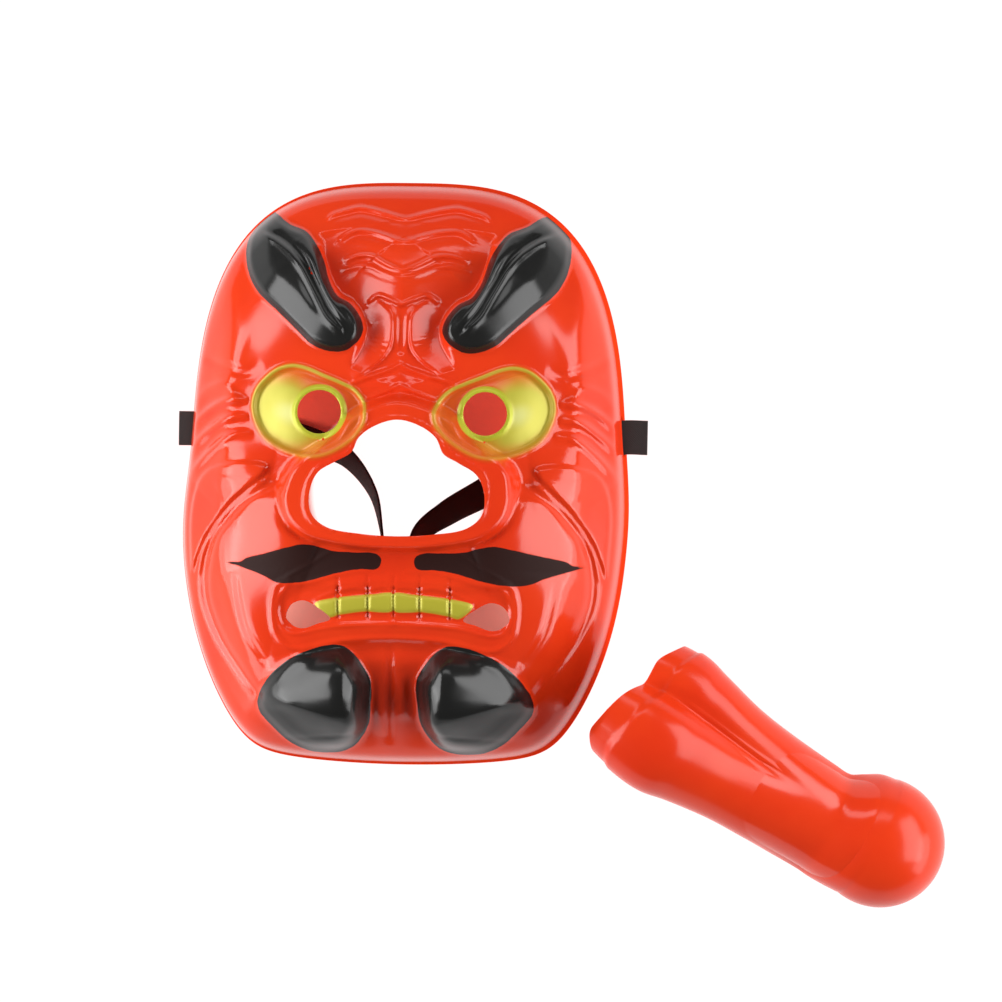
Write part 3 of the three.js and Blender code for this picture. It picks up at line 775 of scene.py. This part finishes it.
def mask_shell(outer_material, inner_material):
    loops = sheet_loops()
    outer_q, outer_faces = mesh_sheet(loops, OUTER_GAPS)
    inner_q, inner_faces = mesh_sheet(loops, INNER_GAPS)
    outer = on_sheet(outer_q)
    inner = on_sheet(inner_q) - WALL * sheet_normals(inner_q)
    rim = len(loops[0])
    outer[:rim, 2] = 0
    inner[:, 2] = np.maximum(inner[:, 2], 0)
    inner[:rim, 2] = 0
    bands = []
    sharp = []
    start = 0
    offset = len(outer)
    for number, loop in enumerate(loops):
        for i, k in around(len(loop)):
            a, b = start + i, start + k
            quad = (a, offset + a, offset + b, b) if number == 0 else (b, offset + b, offset + a, a)
            bands.append(quad)
            sharp += [(a, b), (offset + a, offset + b)]
        start += len(loop)
    faces = [*outer_faces.tolist(), *(inner_faces[:, ::-1] + offset).tolist(), *bands]
    kinds = [0] * len(outer_faces) + [1] * (len(inner_faces) + len(bands))
    points = np.vstack([outer, inner])
    shell = piece("shell_skin", points, faces, [outer_material, inner_material], kinds, sharp)
    x, y = points[:, :2].T
    half = half_of(x, y)
    front = np.arange(len(x)) < offset
    spread = MOUSTACHE_SHIFT + MOUSTACHE_SPREAD * smooth(*MOUSTACHE_RUN, half)
    brow, chin, teeth = [depth_in(loop_of(outline), half, y, 6) for outline in (BROW, CHIN, TEETH)]
    moustache = depth_in(loop_of(MOUSTACHE), half - np.where(x > 0, spread, 0), y, 6)
    black = np.maximum(np.maximum(brow, chin), moustache)
    above_end = (PAINT_END - gauge(x, y)) * RIM_FALL
    # Distance from the painted highlight on each eye's ball, in the radii of its ellipse.
    painted_highlight_y = PAINTED_HIGHLIGHT_CENTRE[1] + PAINTED_HIGHLIGHT_TILT * (half - PAINTED_HIGHLIGHT_CENTRE[0])
    painted_highlight_gauge = np.hypot((half - PAINTED_HIGHLIGHT_CENTRE[0]) / PAINTED_HIGHLIGHT_RADII[0], (y - painted_highlight_y) / PAINTED_HIGHLIGHT_RADII[1])
    for field, values, behind in (
            ("black", np.clip(black, -6, above_end), -6),
            ("moustache", moustache, -6),
            ("eye", depth_in(EYE_LINE, half, y, 10), -10),
            ("pupil", np.hypot(half - EYE_X, y - EYE_Y), 99),
            ("painted_highlight_gauge", painted_highlight_gauge, 9),
            ("teeth", teeth, -6)):
        add_values(shell, field, np.where(front, values, behind))
    add_values(shell, "rim", gauge(x, y))
    add_values(shell, "level", y)
    return shell


# Pull-off nose. Its own frame: t runs from the open base to the bulb, v toward the bridge, w across

NOSE_BULB_RADIUS = 26.0
NOSE_MOUTH = -112.5
NOSE_NECK = -6.0
NOSE_ROLL = -0.26
NOSE_AXIS = np.array([0.877, -0.48]) / math.hypot(0.877, 0.48)
NOSE_BULB_AT = (193.1, -143.2)
NOSE_TILT = 0.075
BASE_SLANT = (0.16, -0.31)
FLAT_DEPTH = 0.6
BULB_DROP = -2.0
NOSE_HALF = [(-124, 25), (-114, 27.8), (-104, 29.4), (-95, 29.3), (-86, 27.4), (-68, 24.4),
             (-50, 23.1), (-30, 21.8), (-23, 21.7), (-18, 23.3), (-12, 25), (NOSE_NECK, 25.4)]
NOSE_DRIFT = [(-122, 1), (-104, 0.6), (-86, -0.8), (-68, -3), (-50, -4.8), (-30, -5.7),
              (-23, -5.9), (-18, -4.7), (-12, -3), (NOSE_NECK, -2.3)]
NOSE_LOBES = [(11.5, 0, 17.5), (-6, 16, 20), (-6, -16, 20)]
LOBE_HALF = 29.3
LOBE_FADE = (-104, -24)
NOSE_GROOVE = 3.0
GROOVE_ANGLES = (0.64, math.pi - 0.64)
GROOVE_AWAY = 24
UPWARD_ANGLE = 0.26
NOSE_SADDLE = [(-130, 0), (-75, 0), (-64, 0.5), (-52, 1.7), (-42, 3.2), (-32, 4.6), (-25, 5.9),
               (-22, 6.7), (-20.5, 6.4), (-19, 5.3), (-16, 3.5), (-12, 1.9), (-8, 0.5),
               (NOSE_NECK, 0)]
WING_LOBE = 1.0
BRIDGE_LOBE = 3.5
WING_CORNER = 5.5
BRIDGE_CORNER = 3.5
COLLAR_INSET = 0.9
NOSE_COLUMNS = 216
NOSE_ROWS = 190
BULB_ROWS = 52


def along(table, t):
    """A smooth curve through a short table of (place, value)."""
    places, values = np.array(table, float).T
    slopes = np.empty(len(places))
    slopes[1:-1] = (values[2:] - values[:-2]) / (places[2:] - places[:-2])
    slopes[0] = (values[1] - values[0]) / (places[1] - places[0])
    slopes[-1] = (values[-1] - values[-2]) / (places[-1] - places[-2])
    i = np.clip(np.searchsorted(places, t, "left") - 1, 0, len(places) - 2)
    run = places[i + 1] - places[i]
    s = np.clip((t - places[i]) / run, 0, 1)
    v0, v1, turn0, turn1 = values[i], values[i + 1], slopes[i] * run, slopes[i + 1] * run
    bend = 3 * (v1 - v0) - 2 * turn0 - turn1
    return v0 + s * turn0 + s * s * bend + s ** 3 * (2 * (v0 - v1) + turn0 + turn1)


def in_grooves(angle, width):
    return sum(bump(np.mod(angle, 2 * math.pi) - at, width) for at in GROOVE_ANGLES)


def lobe_reach(angle):
    dv, dw = np.sin(angle), np.cos(angle)
    total = 0
    for v, w, radius in NOSE_LOBES:
        facing = v * dv + w * dw
        total = total + (facing + np.sqrt(radius * radius - v * v - w * w + facing * facing)) ** 10
    return total ** 0.1 - NOSE_GROOVE * in_grooves(angle, 0.2)


def nose_section(t, angle):
    lobed = (1 - smooth(*LOBE_FADE, t)) / LOBE_HALF
    reach = along(NOSE_HALF, t) * (lobed * lobe_reach(angle) + 1 - lobed * LOBE_HALF)
    return reach * np.sin(angle), reach * np.cos(angle)


def base_scallop(angle):
    """How far each lobe of the open base stands out past the grooves between the lobes."""
    grooves = in_grooves(angle, 0.38)
    bridge = smooth(-0.2, 0.9, np.sin(angle))
    facing = np.sin(angle + NOSE_ROLL)
    rounded = BRIDGE_CORNER * smooth(0.7, 1, facing) + WING_CORNER * smooth(0.55, 1, -facing)
    return (WING_LOBE + (BRIDGE_LOBE - WING_LOBE) * bridge) * (1 - grooves) - rounded


def nose_detail(t, angle):
    """A saddle before the bulb, a narrower collar and a double line down each groove."""
    saddle = along(NOSE_SADDLE, t) * np.clip(np.cos(angle - UPWARD_ANGLE), 0, 1)
    from_edge = t - NOSE_MOUTH
    out = -COLLAR_INSET * (1 - smooth(6, 8.5, from_edge)) - saddle
    for at in GROOVE_ANGLES:
        off = (np.mod(angle, 2 * math.pi) - at) * GROOVE_AWAY
        run = smooth(NOSE_MOUTH + 12, NOSE_MOUTH + 22, t) * (1 - smooth(-48, -34, t))
        lines = 0.45 * bump(off - 2.0, 0.9) + 0.45 * bump(off + 2.0, 0.9)
        out = out + run * (lines - 0.5 * bump(off, 1.0))
    return out


def nose_skin(columns, rows, bulb_rows, wall):
    """Rows of points of one skin of the nose in its own frame (t, v, w)."""
    turn = full_turn(columns)
    flat, angle = np.meshgrid(np.linspace(NOSE_MOUTH, NOSE_NECK, rows), turn, indexing="ij")
    v0, w0 = nose_section(flat, angle)
    share = np.clip((flat - NOSE_NECK) / (NOSE_MOUTH - NOSE_NECK), 0, 1)
    slant = BASE_SLANT[0] * v0 + BASE_SLANT[1] * w0
    t = flat + share ** 2.5 * slant - share ** 8 * base_scallop(angle)
    v, w = nose_section(t, angle)
    lift = nose_detail(flat, angle) if wall == 0 else -wall
    away = np.hypot(v, w)
    v, w = v * (1 + lift / away), w * (1 + lift / away)
    body = np.stack([t, v + along(NOSE_DRIFT, t), w], -1)
    neck = math.acos(NOSE_NECK / NOSE_BULB_RADIUS)
    bends = neck * (1 - np.arange(1, bulb_rows + 1) / (bulb_rows + 0.5))
    bend, angle = np.meshgrid(bends, turn, indexing="ij")
    radius = NOSE_BULB_RADIUS - wall
    bulb = np.stack([radius * np.cos(bend), BULB_DROP + radius * np.sin(bend) * np.sin(angle),
                     radius * np.sin(bend) * np.cos(angle)], -1)
    tip = np.array([[radius, BULB_DROP, 0.0]])
    return np.vstack([body.reshape(-1, 3), bulb.reshape(-1, 3), tip])


def lay_nose(p):
    """From the nose's own frame to where it lies on the floor."""
    side = np.array([-NOSE_AXIS[1], NOSE_AXIS[0]])
    v, w = turn_axes(p[:, 1], p[:, 2], NOSE_ROLL)
    t, z = turn_axes(p[:, 0], w, NOSE_TILT)
    return np.column_stack([NOSE_BULB_AT + np.outer(t, NOSE_AXIS) + np.outer(v, side), z])


def skin_faces(columns, total_rows, start, flip):
    """Faces between the rows of one skin of the nose, and from its last row to its tip."""
    faces = []
    for row in range(start, start + (total_rows - 1) * columns, columns):
        over = row + columns
        faces += [(row + i, over + i, over + k, row + k) for i, k in around(columns)]
    tip = start + total_rows * columns
    faces += [(tip - columns + i, tip, tip - columns + k) for i, k in around(columns)]
    return [face[::-1] for face in faces] if flip else faces


def detachable_nose(outer_material, inner_material):
    outer = nose_skin(NOSE_COLUMNS, NOSE_ROWS, BULB_ROWS, 0)
    inner_rows, inner_bulb = NOSE_ROWS // 3, BULB_ROWS // 3
    inner = nose_skin(NOSE_COLUMNS, inner_rows, inner_bulb, WALL)
    outer, inner = lay_nose(outer), lay_nose(inner)
    floor = outer[:, 2].min() + FLAT_DEPTH
    outer[:, 2] = np.maximum(outer[:, 2] - floor, 0)
    inner[:, 2] = np.maximum(inner[:, 2] - floor, WALL - FLAT_DEPTH)
    offset = len(outer)
    faces = skin_faces(NOSE_COLUMNS, NOSE_ROWS + BULB_ROWS, 0, False)
    outside = len(faces)
    faces += skin_faces(NOSE_COLUMNS, inner_rows + inner_bulb, offset, True)
    sharp = []
    for i, k in around(NOSE_COLUMNS):
        faces.append((i, k, offset + k, offset + i))
        sharp += [(i, k), (offset + i, offset + k)]
    kinds = [0] * outside + [1] * (len(faces) - outside)
    points = np.vstack([outer, inner])
    return piece("nose_skin", points, faces, [outer_material, inner_material], kinds, sharp)


# Materials

RED = (0.73, 0.042, 0.0075, 1)
RED_DEEP = (0.69, 0.033, 0.0065, 1)
BLACK = (0.011, 0.011, 0.0105, 1)
BLACK_THIN = (0.027, 0.0105, 0.009, 1)
GOLD = (0.46, 0.42, 0.035, 1)
# Pale gold of the painted highlight on the eyes.
GOLD_PAINTED_HIGHLIGHT = (0.47, 0.46, 0.12, 1)
GOLD_RING = (0.47, 0.48, 0.030, 1)
# Orange of the eyes: gold sprayed thin over the red at the lids, and painted shade on the ball outside
# its painted highlight; deeper near the pupil.
ORANGE = (0.66, 0.145, 0.012, 1)
ORANGE_DEEP = (0.62, 0.075, 0.010, 1)
MOTTLE = (0.3, 0.7)
SHEET_ROUGH = 0.13
NOSE_ROUGH = 0.20
BLACK_ROUGH = 0.21
MOUSTACHE_ROUGH = 0.5
ORANGE_ROUGH = 0.26
GOLD_ROUGH = 0.38
ROUGH_SPREAD = 0.05
SHEET_GLOSS = 0.4
NOSE_GLOSS = 0.28
CHIN_GLOSS = 0.2
MOUSTACHE_GLOSS = 0.07
GOLD_METAL = 0.18
CHIN_LEVELS = (-90, -98)
RIM_EDGE = (0.92, 0.98)
SPRAY_EDGE = (-2.6, 0.6)
# The edge of the painted highlight on the eyes.
PAINTED_HIGHLIGHT_EDGE = (1.55, 0.75)
RING_EDGE = (11.2, 10.5)
ELASTIC = ((0.010, 0.009, 0.009, 1), (0.034, 0.031, 0.030, 1))


class Graph:
    """Short names for building one material's nodes."""

    def __init__(self, name):
        self.material = bpy.data.materials.new(name)
        self.material.use_nodes = True
        self.tree = self.material.node_tree
        self.shader = self.tree.nodes["Principled BSDF"]

    def feed(self, node, given):
        """Sets the node's inputs, each to a plain value or by a link from another node's output."""
        for socket, value in given.items():
            if isinstance(value, bpy.types.NodeSocket):
                self.tree.links.new(value, node.inputs[socket])
            else:
                node.inputs[socket].default_value = value

    def node(self, kind, given=None, **settings):
        made = self.tree.nodes.new(kind)
        for key, value in settings.items():
            setattr(made, key, value)
        self.feed(made, given or {})
        return made

    def surface(self, **given):
        """Inputs of the shader, by their names with a low line for each space."""
        self.feed(self.shader, {name.replace("_", " "): value for name, value in given.items()})

    def value(self, name):
        return self.node("ShaderNodeAttribute", attribute_name=name).outputs["Fac"]

    def place(self):
        return self.node("ShaderNodeTexCoord").outputs["Object"]

    def noise(self, scale, detail):
        given = {"Scale": scale, "Detail": detail, "Roughness": 0.5, "Vector": self.place()}
        return self.node("ShaderNodeTexNoise", given).outputs["Fac"]

    def span(self, source, low, high, to_low=0.0, to_high=1.0, kind="SMOOTHSTEP"):
        given = {"Value": source, "From Min": low, "From Max": high,
                 "To Min": to_low, "To Max": to_high}
        return self.node("ShaderNodeMapRange", given, interpolation_type=kind).outputs["Result"]

    def mix(self, factor, first, second):
        given = {0: factor, 6: first, 7: second}
        return self.node("ShaderNodeMix", given, data_type="RGBA").outputs[2]

    def blend(self, factor, first, second):
        """The same for plain numbers."""
        given = {0: factor, 2: first, 3: second}
        return self.node("ShaderNodeMix", given, data_type="FLOAT").outputs[0]

    def math(self, operation, first, second=0.0):
        return self.node("ShaderNodeMath", {0: first, 1: second}, operation=operation).outputs[0]

    def unsteady(self, source, scale, detail, amount):
        """The source with a little noise added, for an edge that isn't drawn with a ruler."""
        noise = self.math("SUBTRACT", self.noise(scale, detail), 0.5)
        return self.math("ADD", source, self.math("MULTIPLY", noise, amount))

    def bump(self, height, strength, distance):
        given = {"Height": height, "Strength": strength, "Distance": distance}
        self.surface(Normal=self.node("ShaderNodeBump", given).outputs["Normal"])


def moulded(name, rough, waviness):
    """Thin gloss sheet, moulded in its colour, a little uneven: its graph, colour and roughness."""
    g = Graph(name)
    g.bump(g.noise(45, 2), waviness, 0.0006)
    red = g.mix(g.span(g.noise(28, 3), *MOTTLE), RED, RED_DEEP)
    return g, red, g.span(g.noise(60, 4), *MOTTLE, rough, rough + ROUGH_SPREAD)


def red_plastic(name, rough=SHEET_ROUGH, gloss=SHEET_GLOSS):
    g, red, shine = moulded(name, rough, 0.12)
    g.surface(Base_Color=red, Roughness=shine, Specular_IOR_Level=gloss)
    return g.material


def painted_plastic():
    """The mask's front: red sheet with black brows, moustache and chin, and gold eyes and teeth. The
    eyes have a painted highlight and painted shade.
    """
    g, red, shine = moulded("painted_red_plastic", SHEET_ROUGH, 0.10)
    black = g.span(g.unsteady(g.value("black"), 260, 2, 0.5), -0.12, 0.12, kind="LINEAR")
    thin = g.span(g.value("moustache"), -0.5, 0.2)
    eye = g.value("eye")
    pupil = g.value("pupil")
    # A painted highlight on each eye's ball: pale gold at its middle and plain gold toward its edge.
    painted_highlight_gauge = g.unsteady(g.value("painted_highlight_gauge"), 180, 3, 0.12)
    orange = g.mix(g.span(pupil, 9, 24), ORANGE_DEEP, ORANGE)
    gold = g.mix(g.span(painted_highlight_gauge, 0.0, 0.55), GOLD_PAINTED_HIGHLIGHT, GOLD)
    teeth = g.span(g.value("teeth"), -0.2, 0.4)
    # Orange over all the eye: gold sprayed thin at the lids, and painted shade on the ball where the
    # painted highlight doesn't cover it.
    sprayed_and_painted_shade = g.span(eye, *SPRAY_EDGE)
    in_painted_highlight = g.math("MULTIPLY", g.span(painted_highlight_gauge, *PAINTED_HIGHLIGHT_EDGE), g.span(eye, -0.6, 0.8))
    ring = g.span(pupil, *RING_EDGE)
    # A gold line round the lids, painted stronger on the upper lid than on the lower: a painted
    # highlight along the upper lid.
    lid_line = g.span(g.math("ABSOLUTE", g.math("ADD", eye, 0.2)), 1.1, 0.2)
    lid = g.math("MULTIPLY", lid_line, g.span(g.value("level"), 12, 30, 0.25, 0.8))
    colour = g.mix(black, red, g.mix(thin, BLACK, BLACK_THIN))
    # The eye's orange: sprayed thin gold, and painted shade on the ball.
    colour = g.mix(sprayed_and_painted_shade, colour, orange)
    colour = g.mix(lid, colour, GOLD)
    # The painted highlight's gold over the eye.
    colour = g.mix(in_painted_highlight, colour, gold)
    colour = g.mix(ring, colour, GOLD_RING)
    colour = g.mix(teeth, colour, GOLD)
    metal = g.math("MAXIMUM", g.math("MAXIMUM", in_painted_highlight, teeth), g.math("MAXIMUM", lid, ring))
    shine = g.blend(black, shine, g.blend(thin, BLACK_ROUGH, MOUSTACHE_ROUGH))
    shine = g.blend(sprayed_and_painted_shade, shine, ORANGE_ROUGH)
    shine = g.blend(metal, shine, GOLD_ROUGH)
    edge_gloss = g.span(g.value("rim"), *RIM_EDGE, SHEET_GLOSS, 0.0)
    chin_low = g.math("MULTIPLY", black, g.span(g.value("level"), *CHIN_LEVELS))
    gloss = g.math("MINIMUM", edge_gloss, g.span(chin_low, 0, 1, SHEET_GLOSS, CHIN_GLOSS))
    gloss = g.blend(thin, gloss, MOUSTACHE_GLOSS)
    g.surface(Base_Color=colour, Metallic=g.math("MULTIPLY", metal, GOLD_METAL), Roughness=shine,
              Specular_IOR_Level=gloss)
    return g.material


def woven_elastic():
    g = Graph("woven_black_elastic")
    wave = g.node("ShaderNodeTexWave", {"Scale": 900, "Distortion": 1.5, "Vector": g.place()},
                  wave_type="BANDS", bands_direction="DIAGONAL")
    tone = g.span(wave.outputs["Fac"], 0.2, 0.8)
    g.surface(Base_Color=g.mix(tone, *ELASTIC), Roughness=0.85)
    g.bump(wave.outputs["Fac"], 0.35, 0.0003)
    return g.material


def plain_floor():
    g = Graph("pale_floor")
    g.surface(Base_Color=(0.93, 0.93, 0.93, 1), Roughness=0.9, Specular_IOR_Level=0.1)
    return g.material


# Stage

def stage_sheet(name, outline, height):
    """A flat sheet of the stage with that outline, in metres."""
    mesh = bpy.data.meshes.new(name)
    mesh.from_pydata([(x, y, height) for x, y in outline], [], [list(range(len(outline)))])
    mesh.materials.append(plain_floor())
    made = add_object(name, mesh)
    return made


def make_floors():
    """The floor, and the part of it that the mask covers, which gets its own light."""
    size = 6.0
    floor = stage_sheet("floor", [(-size, -size), (size, -size), (size, size), (-size, size)], -0.0002)
    turn = ANGLES[:-1:8]
    reach = RIM_REACH[:-1:8] - 2.0
    under = np.stack([np.cos(turn) * reach, CENTRE_Y + np.sin(turn) * reach], 1) + LAYOUT[:2]
    return floor, stage_sheet("covered_floor", (under * METRE).tolist(), -0.0001)


def add_light(name, kind, at, aim, power, **settings):
    data = bpy.data.lights.new(name, kind)
    data.energy = power
    for key, value in settings.items():
        setattr(data, key, value)
    light = add_object(name, data)
    light.location = at
    light.rotation_mode = "QUATERNION"
    light.rotation_quaternion = (Vector(aim) - Vector(at)).to_track_quat("-Z", "Y")
    return light


def soft_box(name, at, width, height, radiance):
    power = radiance * math.pi * width * height
    return add_light(name, "AREA", at, BOX_AIM, power, shape="RECTANGLE", size=width, size_y=height)


def make_world():
    world = bpy.data.worlds.new("studio")
    world.use_nodes = True
    background = world.node_tree.nodes["Background"].inputs
    background["Color"].default_value = (1, 1, 1, 1)
    background["Strength"].default_value = WORLD_STRENGTH
    bpy.context.scene.world = world


WORLD_STRENGTH = 0.10
BOX_AIM = (-0.03, 0.0, 0.03)
SOFT_BOXES = [("left_box", (-0.95, 0.06, 0.55), 1.19, 0.60, 6.2),
              ("right_box", (0.92, 0.06, 0.57), 1.24, 0.62, 5.4),
              ("left_low_box", (-1.03, -0.32, 0.19), 0.80, 0.36, 4.0),
              ("right_low_box", (0.97, -0.32, 0.19), 0.80, 0.36, 3.6),
              ("top_box", (-0.05, 0.85, 0.75), 0.9, 0.25, 3.4)]
FLOOR_FILL = 3.25
HOLE_SPOT = 60
HOLE_AIM = (0.0, -8.0, 60.0)
GLOW_POWER = 0.028
EYE_GLOW = (1.0, 0.10, 0.055)
MOUTH_GLOW = (0.62, 0.30, 0.24)
GLOW_AT = [(0, 62, 30, EYE_GLOW), (-64, 18, 30, EYE_GLOW), (64, 18, 30, EYE_GLOW),
           (0, -82, 22, MOUTH_GLOW), (-62, -50, 20, MOUTH_GLOW), (62, -50, 20, MOUTH_GLOW)]


def lights_for(name, lights, lit):
    """Lets these lights shine on the given objects only."""
    group = bpy.data.collections.new(name)
    for made in lit:
        group.objects.link(made)
    for light in lights:
        light.light_linking.receiver_collection = group


def make_lights(floor, covered_floor, pieces):
    """Soft boxes for the pieces, an even light for the floor and the light through the red sheet."""
    make_world()
    lights_for("box_lit", [soft_box(*box) for box in SOFT_BOXES], pieces)
    fill = add_light("floor_fill", "SUN", (0, 0, 2), (0, 0, 0), FLOOR_FILL, use_shadow=False)
    lights_for("fill_lit", [fill], [floor])
    hole = (LAYOUT + HOLE_AIM) * METRE
    above = Vector(bpy.context.scene.camera.location)
    inner = [add_light("hole_spot", "SPOT", above, hole, HOLE_SPOT, spot_size=math.radians(3.5),
                       spot_blend=0.05, shadow_soft_size=0.002)]
    for *place, colour in GLOW_AT:
        at = (LAYOUT + place) * METRE
        inner.append(add_light("sheet_glow", "POINT", at, (0, 0, 0), GLOW_POWER, color=colour,
                               shadow_soft_size=0.004))
    lights_for("inner_lit", inner, [covered_floor])
    bpy.context.scene.view_settings.view_transform = "Standard"


strap, strap_path, strap_length = elastic_strap(woven_elastic())
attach(strap, "root")
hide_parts("elastic_strap")
tuple(strap_path[0])

shell = mask_shell(painted_plastic(), red_plastic("red_sheet_back"))
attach(shell, "root")
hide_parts("mask_shell")

nose = detachable_nose(red_plastic("red_nose", NOSE_ROUGH, NOSE_GLOSS), red_plastic("red_nose_inside"))
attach(nose, "root")
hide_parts("detachable_nose")

make_lights(*make_floors(), [strap, shell, nose])
